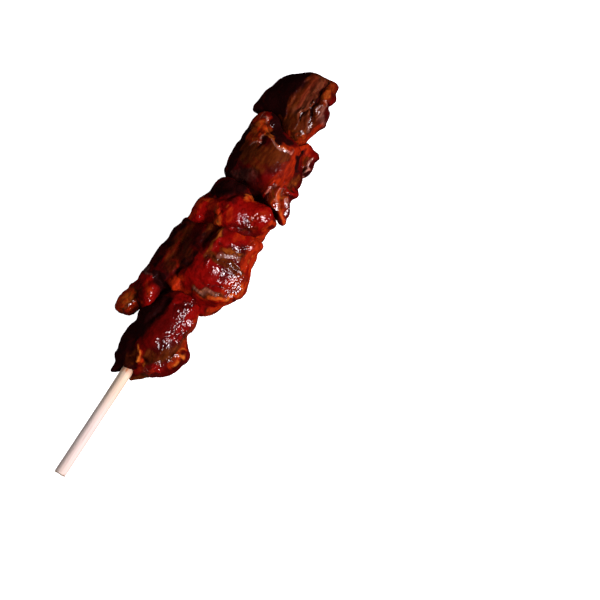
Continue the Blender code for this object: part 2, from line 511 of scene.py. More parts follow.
def makeBeefSkin():
    material = bpy.data.materials.new("beefSkin")
    material.use_nodes = True
    tree = material.node_tree
    shader = tree.nodes["Principled BSDF"]
    coords = addNode(tree, "ShaderNodeTexCoord").outputs["Object"]
    patches = noiseAt(tree, coords, beefLook["patchSize"], 3, low=0.35, high=0.70)
    mottle = noiseAt(tree, coords, beefLook["mottleSize"], 5, low=0.25, high=0.75)
    specks = noiseAt(tree, coords, beefLook["speckSize"], 3, low=0.66, high=0.78)
    strands = noiseAt(tree, coords, beefLook["strandSize"], 4, stretch=(0.22, 1, 1), low=0.35, high=0.65)

    def share(name, variation, base):
        return maths(tree, "MULTIPLY", attributeOf(tree, name), plus(tree, base, variation), True)

    colour = mixColours(tree, patches, beefLook["glaze"], beefLook["deepGlazeAndShade"])
    colour = mixColours(tree, share("red", mottle, 0.6), colour, beefLook["brightGlaze"])
    meat = mixColours(tree, strands, beefLook["brown"], beefLook["paleBrown"])
    colour = mixColours(tree, share("brown", mottle, 0.6), colour, meat)
    # orange marks: crust colour, partly painted light along lit edges
    colour = mixColours(tree, share("orangeAndLitEdge", strands, 0.45), colour, beefLook["orangeAndLitEdge"])
    fatShare = maths(tree, "MAXIMUM", share("fat", mottle, 0.1), times(tree, specks, 0.06))
    colour = mixColours(tree, fatShare, colour, beefLook["fat"])
    # pale marks: painted sheen and highlight lines, partly pale fat bits
    colour = mixColours(tree, share("pale", strands, 0.35), colour, beefLook["pale"])
    # painted shade: hollows darkened towards the deep glaze, standing also for glaze pooled in them
    hollowShade = times(tree, ranged(tree, attributeOf(tree, "hollow"), *beefLook["hollowShadeRange"]), 0.8)
    colour = mixColours(tree, hollowShade, colour, beefLook["deepGlazeAndShade"])
    # dark marks: painted shade on shaded sides, in gaps and creases between pieces, partly charred glaze
    colour = mixColours(tree, share("dark", mottle, 0.75), colour, beefLook["charAndShade"])
    tree.links.new(colour, shader.inputs["Base Color"])

    gloss = attributeOf(tree, "gloss")
    wetness = addNode(tree, "ShaderNodeMapRange")
    wetness.inputs["To Min"].default_value = beefLook["dryRoughness"]
    wetness.inputs["To Max"].default_value = beefLook["wetRoughness"]
    tree.links.new(gloss, wetness.inputs["Value"])
    tree.links.new(wetness.outputs["Result"], shader.inputs["Roughness"])
    shader.inputs["Specular IOR Level"].default_value = beefLook["specular"]
    damp = plus(tree, times(tree, specks, 0.5), beefLook["leastCoat"])
    coat = maths(tree, "ADD", times(tree, gloss, plus(tree, mottle, 0.5)), damp, True)
    tree.links.new(coat, shader.inputs["Coat Weight"])
    shader.inputs["Coat Roughness"].default_value = beefLook["coatRoughness"]
    shader.inputs["Coat IOR"].default_value = beefLook["coatIor"]
    shader.inputs["Subsurface Weight"].default_value = beefLook["subsurface"]
    shader.inputs["Subsurface Radius"].default_value = beefLook["subsurfaceRadius"]
    shader.inputs["Subsurface Scale"].default_value = beefLook["subsurfaceScale"] * mm

    fine = noiseAt(tree, coords, beefLook["fineSize"], 3, low=0.25, high=0.75)
    crinkle = noiseAt(tree, coords, beefLook["crinkleSize"], 1, low=0.25, high=0.75)
    crinkle = times(tree, times(tree, crinkle, gloss), beefLook["crinkleBump"] / beefLook["fineBump"])
    relief = plus(tree, plus(tree, fine, strands), crinkle)
    normal = bumpFrom(tree, relief, 1.0, beefLook["fineBump"])
    tree.links.new(normal, shader.inputs["Normal"])
    tree.links.new(normal, shader.inputs["Coat Normal"])
    return material


beefSkin = makeBeefSkin()
print("beef material made")


# Each mark is a line of (along, left) points, then its width and its depth, height or strength.
# A lump is its centre, half sizes and turn; a grab is its spot, its radius and how far it moves.
firstBeef = {
    "slot": "glazed_beef",
    "voxel": 0.3,
    "seed": 11,
    "plug": (51, 92, 4.2),
    "lumps": {
        "entryFold": ((53, 1.0, 2.4), (3.4, 2.6, 2.2), 10),
        "shoulder": ((86.5, -6, 2.5), (5.0, 4.2, 6.0), -15),
        "frontRound": ((57.8, -8.4, 2.4), (5.4, 5.0, 6.2), 0),
    },
    "grabs": [
        ((76, 7.5), 7, (0, 2.4, 0)),
        ((67, -16), 5, (0.5, -1.8, 0)),
        ((80, -11), 5, (0, -1.4, 0)),
        ((53, 7), 3, (0, 1.2, 0)),
        ((47, 5), 2, (-0.8, 0.6, 0)),
        ((48.5, 0.5), 2.5, (1.4, 0, 0)),
        ((47, -3.5), 2.5, (-1.2, 0.4, 0)),
    ],
    "uneven": 1.0,
    "seams": 0.2,
    "fibreDepth": 0.15,
    "lumpy": 0.5,
    "grainy": 0.3,
    "crumpled": 0.55,
    "bubbly": 0.25,
    "grainAt": (70, 0, 0),
    "grainTurn": 8,
    "creases": [
        ([(54, 3), (58, -1), (57, -6)], 0.7, 0.6),
        ([(60, -8), (65, -10), (69, -14)], 0.9, 0.5),
        ([(84, -1), (86, -5), (89, -9)], 0.9, 0.6),
        ([(70, -4), (74, -11)], 0.9, 0.35),
        ([(70, 4), (80, 2), (88, 3)], 1.2, 0.8),
    ],
    "ridges": [
        ([(61, -1), (70, -4), (80, -5.5), (90, -5)], 4.0, 1.3),
        ([(55, -2), (58, -0.5), (61, 1.2)], 0.6, 0.7),
        ([(60, -15), (66, -17), (70, -16)], 1.2, 0.7),
        ([(53, -7), (60, -8.5)], 1.2, 0.9),
        ([(55, -11), (60, -10.8)], 1.0, 0.8),
        ([(71, -10.6), (78, -11.8), (84, -12)], 0.9, 0.9),
    ],
    "laps": [
        ([(61, 2), (57, 0.5), (54, -2.5)], 0.8, 0.7),
    ],
    "fibre": [([(58, -6), (66, -12)], 5, 0.8), ([(66, -8), (88, -8)], 5, 0.6)],
    "gloss": [
        ([(53, -8), (59, -9.5)], 3.0, 1.0), ([(55, -12), (59, -11)], 2.0, 0.9),
        ([(62, -13.5), (66, -14.5)], 1.8, 0.9),
        ([(66, -7.5), (72, -8)], 2.0, 1.0), ([(74, -7), (79, -9)], 3.0, 1.0),
        ([(72, -11), (83, -12.5)], 2.3, 1.0),
        ([(82, -5.5), (87, -8)], 3.4, 1.0), ([(89.5, -5), (90.5, -9)], 1.8, 1.0),
        ([(65, -4), (67, -3.5)], 1.3, 0.8),
        ([(71, -4.5), (73, -4.5)], 0.8, 0.6), ([(52, -5), (53, -6)], 1.0, 0.6),
    ],
    # painted shade on the shaded side and in gaps and creases, partly charred glaze
    "dark": [
        ([(46, 6), (52, 6), (62, 8), (74, 7.5), (88, 8)], 5.6, 1.0),
        ([(58, 5.5), (68, 4.5), (76, 3.5), (84, 3)], 3.0, 0.95),
        ([(51.5, 2), (52.5, -2)], 1.6, 0.6),
    ],
    "red": [
        ([(62, 0), (72, -2), (84, -3), (93, -5)], 4.5, 0.2),
        ([(86, -1), (91, -4)], 3.0, 0.6),
        ([(53, -4), (57, -11)], 3.0, 0.8),
        ([(84, -10), (92, -13)], 3.5, 0.8),
        ([(72, -9), (84, -11)], 3.0, 0.7),
    ],
    # orange crust, partly painted light along lit edges
    "orangeAndLitEdge": [
        ([(60, -14.5), (66, -15.5), (71, -14.5), (84, -13.5)], 1.5, 0.55),
        ([(53, -4), (54, -9)], 1.1, 0.45),
        ([(55, -3.5), (61, 0.6)], 1.1, 0.7),
        ([(84, -13), (88, -15)], 1.6, 0.6),
    ],
    "fat": [
        ([(62, -15.6)], 1.3, 0.8), ([(64.8, -15)], 0.8, 0.6), ([(67, -16.6)], 1.7, 0.9),
        ([(55.5, -2), (60.8, 1)], 0.7, 1.0), ([(69.3, -14.6)], 0.7, 0.6),
        ([(55, -4), (56.5, -4)], 0.8, 0.9),
    ],
    "brown": [
        ([(59, -5), (62, -9), (67, -13)], 4.0, 0.9),
        ([(46, -3), (51, -8)], 2.4, 1.0),
        ([(52, 2), (57, 2)], 2.6, 0.9),
        ([(66, -13), (78, -13.5)], 1.6, 0.5),
    ],
}
makeBeef("beef_1", firstBeef)

secondBeef = {
    "slot": "glazed_beef",
    "voxel": 0.33,
    "seed": 12,
    "plug": (76, 131, 4.0),
    "lumps": {
        "lowLip": ((92.5, -12.5, -3.5), (8.0, 5.2, 5.5), -40),
        "redTop": ((103, -5, 3.2), (9.0, 8.0, 5.4), -60),
        "knuckleTail": ((85.4, 13.0, 3.4), (5.0, 3.0, 5.4), 48),
        "knuckleFoot": ((78.8, 8.2, 3.6), (4.4, 3.2, 5.0), 30),
        "fingerFold": ((72.8, 15.6, 4.8), (2.4, 1.6, 2.0), -20),
        "fingerTuck": ((76.6, 14.8, 4.6), (1.8, 1.5, 2.0), 10),
        "hump": ((91.5, 2, 5.6), (4.2, 3.6, 4.2), 0),
    },
    "grabs": [
        ((82, 16.5), 4, (0, 2.0, 0)),
        ((125, -16.5), 5, (0.6, -2.4, 0)),
        ((118, 13.5), 4, (1.5, 1.2, 0)),
        ((70, 19), 4, (-0.8, 0.6, 0)),
        ((104, -23), 5, (-0.8, -1.0, 0)),
    ],
    "uneven": 1.1,
    "seams": 0.2,
    "fibreDepth": 0.2,
    "lumpy": 0.5,
    "grainy": 0.3,
    "crumpled": 0.55,
    "bubbly": 0.3,
    "grainAt": (108, 0, 0),
    "grainTurn": 60,
    "creases": [
        ([(86, 4), (90, 8), (91, 13)], 2.0, 1.3),
        ([(94, 6), (100, 4), (106, 2.5)], 1.3, 0.9),
        ([(110.5, 1), (110, -5), (111.5, -12), (110, -19)], 0.9, 0.8),
        ([(117, -2), (118.5, -8), (118, -15)], 0.9, 0.6),
        ([(98, 12), (106, 10), (114, 11)], 1.2, 0.6),
        ([(76, 11.5), (79, 14), (82, 15.6)], 0.8, 0.5),
        ([(97.5, -3), (99, -10), (102, -17)], 1.0, 0.7),
        ([(112, 3), (118, 3), (126, 1.5)], 1.6, 1.3),
    ],
    "ridges": [
        ([(93, -4), (95, -10), (97, -16), (102, -22)], 1.2, 1.2),
        ([(114, -4), (115, -9), (116, -14)], 1.3, 0.7),
        ([(106.5, -3.4), (110, -2.6)], 0.9, 0.7),
        ([(78, 8), (83, 10), (86, 13.5)], 2.2, 0.5),
        ([(70, 14.8), (74, 15.4), (78, 15)], 1.4, 0.8),
        ([(112, -1), (118, -1.5), (125, -0.8)], 0.9, 0.7),
    ],
    "laps": [
        ([(102, -23), (96, -15), (93, -8), (92, -4)], 1.3, 1.0),
    ],
    "fibre": [([(100, 10), (114, 12)], 7, 1.0), ([(112, -4), (116, -14)], 5, 0.9)],
    "gloss": [
        ([(89, -0.5), (91, -2.5)], 0.9, 0.9), ([(95, -5.5), (97, -12), (98.5, -16)], 1.2, 0.8),
        ([(107, -3), (110, -2.5)], 1.1, 0.9), ([(105.5, -7), (108, -7), (107, -11)], 2.0, 0.8),
        ([(97.5, -11.5), (99.5, -10.5)], 0.9, 0.8), ([(102, -14), (103, -13)], 1.7, 1.0),
        ([(101, -20), (106, -17), (110, -15)], 3.6, 0.6), ([(103, -22.5), (109, -20)], 1.8, 0.7),
        ([(112.5, -6), (114, -9), (116, -14)], 1.7, 0.8), ([(112, -13), (113, -17)], 1.2, 0.9),
        ([(119.5, -10.5), (122, -14), (125, -15.5)], 2.2, 0.8), ([(71.5, 15), (73.5, 14.2)], 1.8, 1.0),
        ([(75, 14.8), (77, 13.8)], 1.4, 1.0), ([(80, 8.6), (82.5, 9.8)], 1.6, 1.0),
        ([(89, 13.5), (91, 17)], 1.1, 0.9),
        ([(79, 8.5), (79.5, 10)], 0.8, 0.6), ([(114, -18), (116, -18.5)], 1.0, 0.6),
    ],
    # painted shade on the shaded side and in gaps and creases, partly charred glaze
    "dark": [
        ([(87, 5), (90, 9), (91.5, 13)], 3.2, 1.0),
        ([(78, 4), (85, 3)], 2.6, 0.9),
        ([(97, 6), (102, 4.5), (108, 3.5)], 2.4, 0.7),
        ([(96, 16.5), (112, 16), (120, 13)], 2.4, 0.7),
        ([(112, 5.5), (118, 3)], 2.6, 0.6),
        ([(92, 8), (96, 12)], 2.4, 0.5),
        ([(98, 10), (106, 8), (116, 8)], 3.4, 0.35),
        ([(76, 11.5), (79, 14), (82, 15.6)], 0.8, 0.6),
        ([(71, 10.5), (76, 10.5)], 1.4, 0.8),
    ],
    "red": [
        ([(98, 0), (101, -8), (106, -5)], 6, 0.85),
        ([(113, -3), (120, -5), (126, -12)], 5.0, 0.85),
        ([(76, 7.5), (82, 9.5), (88, 15.5)], 3.4, 0.8),
        ([(84, 1), (88, 1), (93, -2)], 2.2, 0.8),
        ([(97, 12), (104, 16)], 2.4, 0.5),
        ([(104, 9), (112, 14)], 2.4, 0.45),
        ([(69, 12), (71, 19), (78, 20.5), (86, 19)], 2.2, 0.7),
        ([(100, -13), (106, -19)], 4.5, 0.7),
        ([(86, -13), (91, -8), (94, -17)], 4.0, 0.7),
        ([(97, 7), (101, 8.5)], 2.0, 0.6),
        ([(84, 0), (88, -3), (97, 1), (108, 1)], 3.0, 0.7),
        ([(104, 18), (108, 17.5)], 1.2, 0.6),
        ([(112, -20), (130, -16)], 3.0, 0.6),
    ],
    # orange crust, partly painted light along lit edges
    "orangeAndLitEdge": [
        ([(89.5, 0.5), (91, 3), (95, 3)], 3.2, 0.8),
        ([(91, -3), (93, 1)], 2.0, 0.5),
        ([(71, 18), (75, 19.5), (80, 18)], 2.2, 0.65),
        ([(72, 13), (78, 13)], 2.0, 0.65),
        ([(92.5, -6), (94, -12)], 1.0, 0.4),
        ([(94.5, -13), (96.5, -17), (102, -22)], 1.5, 0.85),
        ([(89, 5), (93, 5)], 2.0, 0.5),
        ([(101, -23.5), (112, -22.5), (120, -20), (131, -17)], 2.0, 0.8),
        ([(114, -18), (122, -16), (130, -15)], 2.4, 0.6),
        ([(82, 10), (86.5, 14)], 1.6, 0.6),
        ([(87, -16), (93, -18), (97, -21)], 2.0, 0.7),
        ([(99, 8), (101, 8.5)], 0.9, 0.7),
        ([(101, -16), (109, -20)], 3.4, 0.4),
        ([(123, -8), (127, -11)], 2.0, 0.6),
    ],
    "fat": [
        ([(94, -12), (97, -17), (100, -21)], 1.0, 0.8), ([(116, -6), (117.5, -13)], 1.4, 0.5),
        ([(95, -5), (96.5, -12)], 0.8, 0.35),
        ([(112, -0.8), (124, -0.6)], 0.8, 0.5), ([(116.5, -18.5), (119, -18)], 0.9, 0.7),
        ([(103, -23), (107, -22)], 0.9, 0.5), ([(74, 18), (78, 17)], 1.8, 0.4),
    ],
    # painted sheen and highlight lines, partly pale fat bits
    "pale": [
        ([(94.5, -5.5), (95.5, -9), (97, -13)], 1.4, 0.4),
        ([(113, -6), (114, -9), (116, -14)], 1.2, 0.28),
        ([(89, 13), (91, 17)], 0.7, 0.2),
    ],
    "brown": [
        ([(111, -2), (111.5, -10), (110.5, -18)], 2.6, 1.0),
        ([(94, -5), (95.5, -10), (98, -16)], 2.2, 1.0),
        ([(72, 17), (80, 17)], 3.6, 0.9),
        ([(104, 4), (110, 10), (118, 12)], 2.6, 0.7),
        ([(97, 10), (108, 15), (118, 12)], 3.4, 0.6),
        ([(100, 5), (106, 11)], 2.4, 0.6),
        ([(115, -5), (117, -14)], 2.0, 0.7),
        ([(103, -21), (109, -17)], 2.6, 0.5),
        ([(112, -0.8), (124, -0.6)], 1.2, 0.8),
        ([(117, 4), (124, 4)], 2.0, 0.7),
        ([(86, -15), (92, -18)], 2.0, 0.5),
    ],
}
makeBeef("beef_2", secondBeef)

thirdBeef = {
    "slot": "glazed_beef",
    "voxel": 0.3,
    "seed": 13,
    "plug": (120, 146, 4.5),
    "lumps": {
        "bridge": ((141, 1, -1), (4, 8, 9), 0),
        "leftLobe": ((126, 9.0, 3.6), (8.0, 5.8, 5.6), 0),
        "knob": ((133.5, -5.5, 3.0), (6.5, 5.5, 5.5), -40),
        "lowBridge": ((129.5, -14.2, -3), (4, 4.2, 4), 0),
    },
    "grabs": [
        ((145, -7), 7, (-2.0, 0, 0)),
        ((137, -18), 4, (0, -1.4, 0)),
        ((120, 13), 4, (-1.5, 1.0, 0)),
    ],
    "uneven": 1.0,
    "seams": 0.2,
    "fibreDepth": 0.15,
    "lumpy": 0.6,
    "grainy": 0.3,
    "crumpled": 0.5,
    "bubbly": 0.3,
    "grainAt": (130, 0, 0),
    "grainTurn": 40,
    "creases": [
        ([(118, 3), (124, 1), (127, -3), (128, -9), (130, -15)], 1.1, 0.7),
        ([(134, 13), (134, 9), (137, 4), (141, 2)], 1.0, 1.0),
        ([(122, 4), (126, 6), (131, 3)], 0.8, 0.6),
    ],
    "ridges": [
        ([(120, 12), (128, 13), (132, 11)], 1.6, 0.7),
        ([(123, 1.5), (127, 3), (131, 7)], 0.9, 0.6),
        ([(141, -1), (142, -6)], 1.0, 0.5),
        ([(132, -12), (138, -16)], 2.0, 0.6),
    ],
    "fibre": [([(124, 6), (130, 8)], 5, 0.5)],
    "gloss": [
        ([(129, -4.5), (131, -5.5), (134, -6)], 3.0, 1.0), ([(130.5, -7.5), (131.5, -8)], 2.0, 1.0),
        ([(135, -9), (138, -15)], 2.8, 1.0), ([(130, -10), (132, -12.5)], 1.6, 0.9),
        ([(138, -15.5), (141, -15)], 0.8, 0.8), ([(121.5, 11), (122.5, 11)], 0.8, 0.7),
        ([(129, 6), (130, 7)], 0.8, 0.6), ([(126, 2.5), (127, 3)], 0.7, 0.5),
    ],
    # painted shade on the shaded side and in gaps and creases, partly charred glaze
    "dark": [
        ([(137, 11), (141, 8), (144, 3)], 4.4, 1.0),
        ([(112, 2), (120, 3)], 2.5, 0.8),
        ([(124, -0.5), (127, -3), (128, -8), (129.5, -14)], 0.8, 0.45),
        ([(143.5, -4), (143, -12)], 1.4, 0.9),
    ],
    "red": [
        ([(128, -2), (137, -3), (140, -9)], 5.5, 1.0),
        ([(119, 10), (127, 12), (133, 9)], 5.0, 1.0),
        ([(132, -13), (140, -14)], 4.0, 1.0),
        ([(124, 5), (134, 2)], 3, 0.8),
    ],
    # orange crust, partly painted light along lit edges
    "orangeAndLitEdge": [
        ([(128, 14), (131, 14), (132.5, 10)], 1.5, 0.7),
        ([(124, 1.5), (127, 3), (131, 6)], 1.5, 0.8),
        ([(129, -1), (133, 0)], 1.8, 0.5),
        ([(128, -17), (138, -18)], 1.8, 0.75),
        ([(134, -9), (139, -13)], 2.6, 0.45),
        ([(119, 14), (124, 14)], 1.8, 0.7),
        ([(129, 9), (131, 7)], 2.0, 0.45),
        ([(141, -2), (142.5, -7)], 1.3, 0.9),
    ],
    "fat": [
        ([(131, 13.5), (132.5, 11)], 0.8, 0.5), ([(125, 2), (126.5, 3)], 0.8, 0.6),
        ([(141.5, -1.5), (142.5, -6)], 1.0, 0.8),
        ([(133, 3), (133.6, 3.4)], 0.6, 0.6),
    ],
    "brown": [
        ([(124, 3), (130, 6)], 1.6, 0.7),
        ([(128, -9), (131, -13)], 1.6, 0.4),
    ],
}
makeBeef("beef_3", thirdBeef)

fourthBeef = {
    "slot": "browned_beef",
    "voxel": 0.3,
    "seed": 14,
    "plug": (142, 178, 4.5),
    "lumps": {
        "endCap": ((171, 8.5, 2.4), (7.0, 5.5, 5.5), 15),
        "gapFloor": ((143.5, -6, -3.5), (4.5, 8.0, 4.0), 0),
        "flapWide": ((148, -14.2, 2.0), (7.5, 4.6, 5.6), 42),
    },
    "grabs": [
        ((140, -21), 3, (-1.0, -0.8, 0)),
        ((153, -18), 3.5, (0.5, -2.2, 0)),
        ((166, 13), 4, (0, 1.2, 0)),
        ((147, 11.5), 3, (0, 0.8, 0)),
    ],
    "uneven": 0.8,
    "seams": 0.2,
    "fibreDepth": 0.12,
    "lumpy": 0.3,
    "grainy": 0.16,
    "crumpled": 0.35,
    "bubbly": 0.15,
    "grainAt": (158, 0, 0),
    "grainTurn": 75,
    "creases": [
        ([(142, -1), (144, -7), (142, -14), (139, -19)], 1.0, 0.9),
        ([(144, -18), (147, -15.5), (149, -14)], 0.7, 0.8),
        ([(150.5, -15), (151.5, -18), (150.5, -20)], 0.7, 1.0),
        ([(155, -20), (155.5, -16), (154.5, -13)], 0.8, 0.9),
        ([(163, 6), (167, 5.5), (170, 7)], 0.8, 0.6),
        ([(173, 4), (174.5, 8), (174, 12)], 0.8, 0.7),
        ([(150, 9), (153, 3), (150, -4)], 1.4, 0.5),
        ([(167, 14), (170, 13), (172, 13.5)], 0.7, 0.8),
    ],
    "ridges": [
        ([(143, -16), (146, -13), (149, -11.5), (152, -11.5), (153.5, -13.5)], 0.8, 1.3),
        ([(142, -22), (146, -20), (149, -18)], 0.8, 1.0),
        ([(170, 9), (171, 4), (170, 0), (168.5, -4), (170, -8)], 1.1, 0.7),
        ([(165, 9.5), (167, 6)], 0.6, 0.9),
        ([(168, 8.5), (170, 6.5)], 0.6, 0.9),
        ([(175, 6), (177.5, 8)], 0.7, 0.9),
        ([(176, 9.5), (178.5, 11)], 0.7, 0.9),
        ([(152.5, -15), (153, -19)], 0.9, 0.6),
    ],
    "laps": [
        ([(144, -10), (148, -8.3), (155, -9)], 1.0, 1.4),
    ],
    "fibre": [
        ([(154, 3), (166, -2)], 8, 0.6), ([(144, -18), (152, -12)], 4, 0.5),
        ([(166, 10), (176, 10)], 4, 0.8),
    ],
    "gloss": [
        ([(144.5, -10), (148, -8.7), (153, -9.6)], 1.3, 1.0),
        ([(143, -16), (146, -13), (149, -11.6), (152, -11.6), (153.5, -13.5)], 1.4, 1.0),
        ([(142.5, -22), (146, -20), (149.5, -18)], 0.9, 1.0), ([(151.5, -15), (152, -18.5)], 0.8, 0.9),
        ([(163.5, 9), (166, 6.5)], 1.5, 1.0), ([(168, 7.5), (169, 7)], 1.2, 1.0),
        ([(175, 7), (178, 10.5)], 2.0, 1.0),
        ([(175, 5.5), (177, 5.5)], 1.2, 0.9), ([(172, 2), (173, 3)], 0.8, 0.8),
        ([(170, 1), (168.5, -4), (170.5, -8)], 1.2, 0.8), ([(159, -15), (160.5, -15)], 0.9, 0.8),
        ([(148, 7), (153, 9)], 2.5, 0.35), ([(146, 4), (150, -4)], 2.0, 0.3),
    ],
    # painted shade on the shaded side and in gaps and creases, partly charred glaze
    "dark": [
        ([(146, 11), (152, 12), (160, 14), (167, 14.5)], 2.8, 1.0),
        ([(145, 10), (145.5, 0), (144, -7)], 2.8, 0.7),
        ([(149, 8), (151, 2), (149, -3)], 5.0, 0.4),
        ([(172, -1), (176, 4), (181, 7)], 3.4, 1.4),
        ([(172.5, -5), (173, 0)], 1.8, 1.0),
        ([(163, -15), (166, -12.4), (169, -11.5), (172, -12)], 1.1, 1.0),
        ([(142.5, -14), (140.5, -18)], 1.0, 0.9),
        ([(168, 13.8), (170.5, 13.6)], 0.8, 0.9),
        ([(155, -19), (155.6, -17)], 0.6, 0.7),
    ],
    "red": [
        ([(150, -4), (156, -6)], 2.6, 0.35),
        ([(177, 13), (179.5, 9.5)], 2.0, 0.7),
        ([(153, -15), (154.5, -20)], 1.6, 0.9),
        ([(146, -9), (143, -13)], 1.4, 0.8),
        ([(155, 3), (161, 4)], 3.0, 0.35),
    ],
    # orange crust, partly painted light along lit edges
    "orangeAndLitEdge": [
        ([(154, -12), (162, -11.5), (171, -10.5)], 3.4, 0.5),
        ([(148, -6.5), (155, -8), (163, -8)], 1.8, 0.35),
        ([(144, -14), (148, -10.5), (154, -10)], 2.6, 0.9),
        ([(147, -14), (152, -12)], 2.0, 0.6),
        ([(146, -12), (153, -10)], 1.8, 0.8),
        ([(140, -22), (145, -17.5), (149, -13)], 2.2, 1.0),
        ([(174, 14.5), (178, 14)], 1.4, 0.8),
        ([(170, 3), (170, -8)], 1.6, 0.8),
        ([(166, 10), (173, 8), (177, 12)], 3.8, 0.8),
        ([(146, -19), (151, -16)], 1.8, 0.5),
    ],
    "fat": [
        ([(170, 6), (171, 3), (169.5, -1), (169, -4)], 0.8, 0.8), ([(166, 9), (170, 12)], 1.6, 0.4),
        ([(172, 5), (174, 9), (173, 12)], 1.4, 0.5), ([(140, -21.5), (144, -17.5)], 1.1, 0.5),
        ([(149, -14.5), (150, -17)], 1.0, 0.4),
        ([(156.5, -16.5), (158.5, -17)], 1.3, 0.35), ([(145, -12.5), (149, -10)], 0.6, 0.4),
        ([(143.5, -17), (147, -13.5), (151, -13)], 1.6, 0.3),
    ],
    # painted sheen and highlight lines, partly pale fat bits
    "pale": [
        ([(169.8, 4), (168.2, -3), (169.5, -8)], 0.8, 0.6),
        ([(163.5, 9), (165.3, 8.2)], 0.7, 0.9), ([(165.8, 6.8), (166.8, 6)], 0.6, 0.8),
        ([(168, 7.6), (169, 7)], 0.8, 1.0), ([(175, 9.5), (177.5, 10.8)], 0.9, 0.7),
        ([(174.8, 6.2), (176.5, 5.4)], 0.7, 0.7), ([(172.5, 2.5), (173.2, 3)], 0.6, 0.8),
        ([(168.5, 13.4), (171, 13.6)], 0.5, 0.5), ([(176, 12.5), (178.5, 12)], 0.5, 0.5),
        ([(144, -15.5), (148, -12.5)], 0.8, 0.4), ([(148.3, -19.3), (149.3, -17.6)], 1.0, 0.45),
        ([(145, -10.6), (149, -9), (153, -9.6)], 0.8, 0.5), ([(147, 8), (151, 2)], 4.0, 0.1),
    ],
    "brown": [
        ([(160, 6), (162, 0), (166, -3)], 7.0, 1.0),
        ([(167, 9), (172, 12)], 3.0, 0.5),
        ([(156, 9), (170, 11)], 4, 1.0),
        ([(155, 1), (158, 5)], 4, 0.7),
        ([(155.5, -16), (160, -16.5)], 2.6, 0.9),
        ([(146, -17), (150, -14)], 2.0, 0.6),
    ],
}
makeBeef("beef_4", fourthBeef)

fifthBeef = {
    "slot": "glazed_beef",
    "voxel": 0.3,
    "seed": 15,
    "plug": (170, 178, 4.0),
    "grabs": [
        ((173, -18), 3.5, (1.2, -1.8, 0)),
    ],
    "uneven": 0.6,
    "seams": 0.2,
    "fibreDepth": 0.12,
    "lumpy": 0.3,
    "grainy": 0.15,
    "crumpled": 0.12,
    "bubbly": 0.05,
    "smoothing": 6,
    "grainAt": (168, -15, 0),
    "grainTurn": 0,
    "ridges": [
        ([(161, -17.2), (166, -17.9), (172, -17.6)], 0.7, 1.3),
    ],
    "creases": [
        ([(163, -16.3), (168, -16.9), (172, -16.3)], 0.6, 0.6),
    ],
    "fibre": [([(162, -15), (172, -14)], 3, 0.5)],
    "gloss": [
        ([(161.5, -17.3), (166, -17.9), (171.5, -17.7)], 0.9, 0.5), ([(164, -15.6), (170, -15)], 1.0, 0.1),
    ],
    # painted shade on the shaded side and in gaps and creases, partly charred glaze
    "dark": [
        ([(162, -14.6), (166, -12.2), (169, -11.4), (172, -12)], 1.1, 1.0),
        ([(160, -19.5), (172, -20.5)], 1.8, 0.7),
    ],
    "red": [([(173, -17), (177, -11)], 2.2, 0.5)],
    # orange crust, partly painted light along lit edges
    "orangeAndLitEdge": [
        ([(171, -10), (177, -12)], 2, 1.0), ([(166, -15), (171, -14)], 1.2, 0.5),
        ([(172, -15), (175, -13)], 1.2, 0.5),
    ],
    # painted sheen and highlight lines, partly pale fat bits
    "pale": [ ([(161.5, -17.2), (166, -17.8), (171.5, -17.6)], 0.8, 1.0)],
    "brown": [([(163, -15.5), (170, -15)], 1.8, 1.0)],
}
makeBeef("beef_5", fifthBeef)

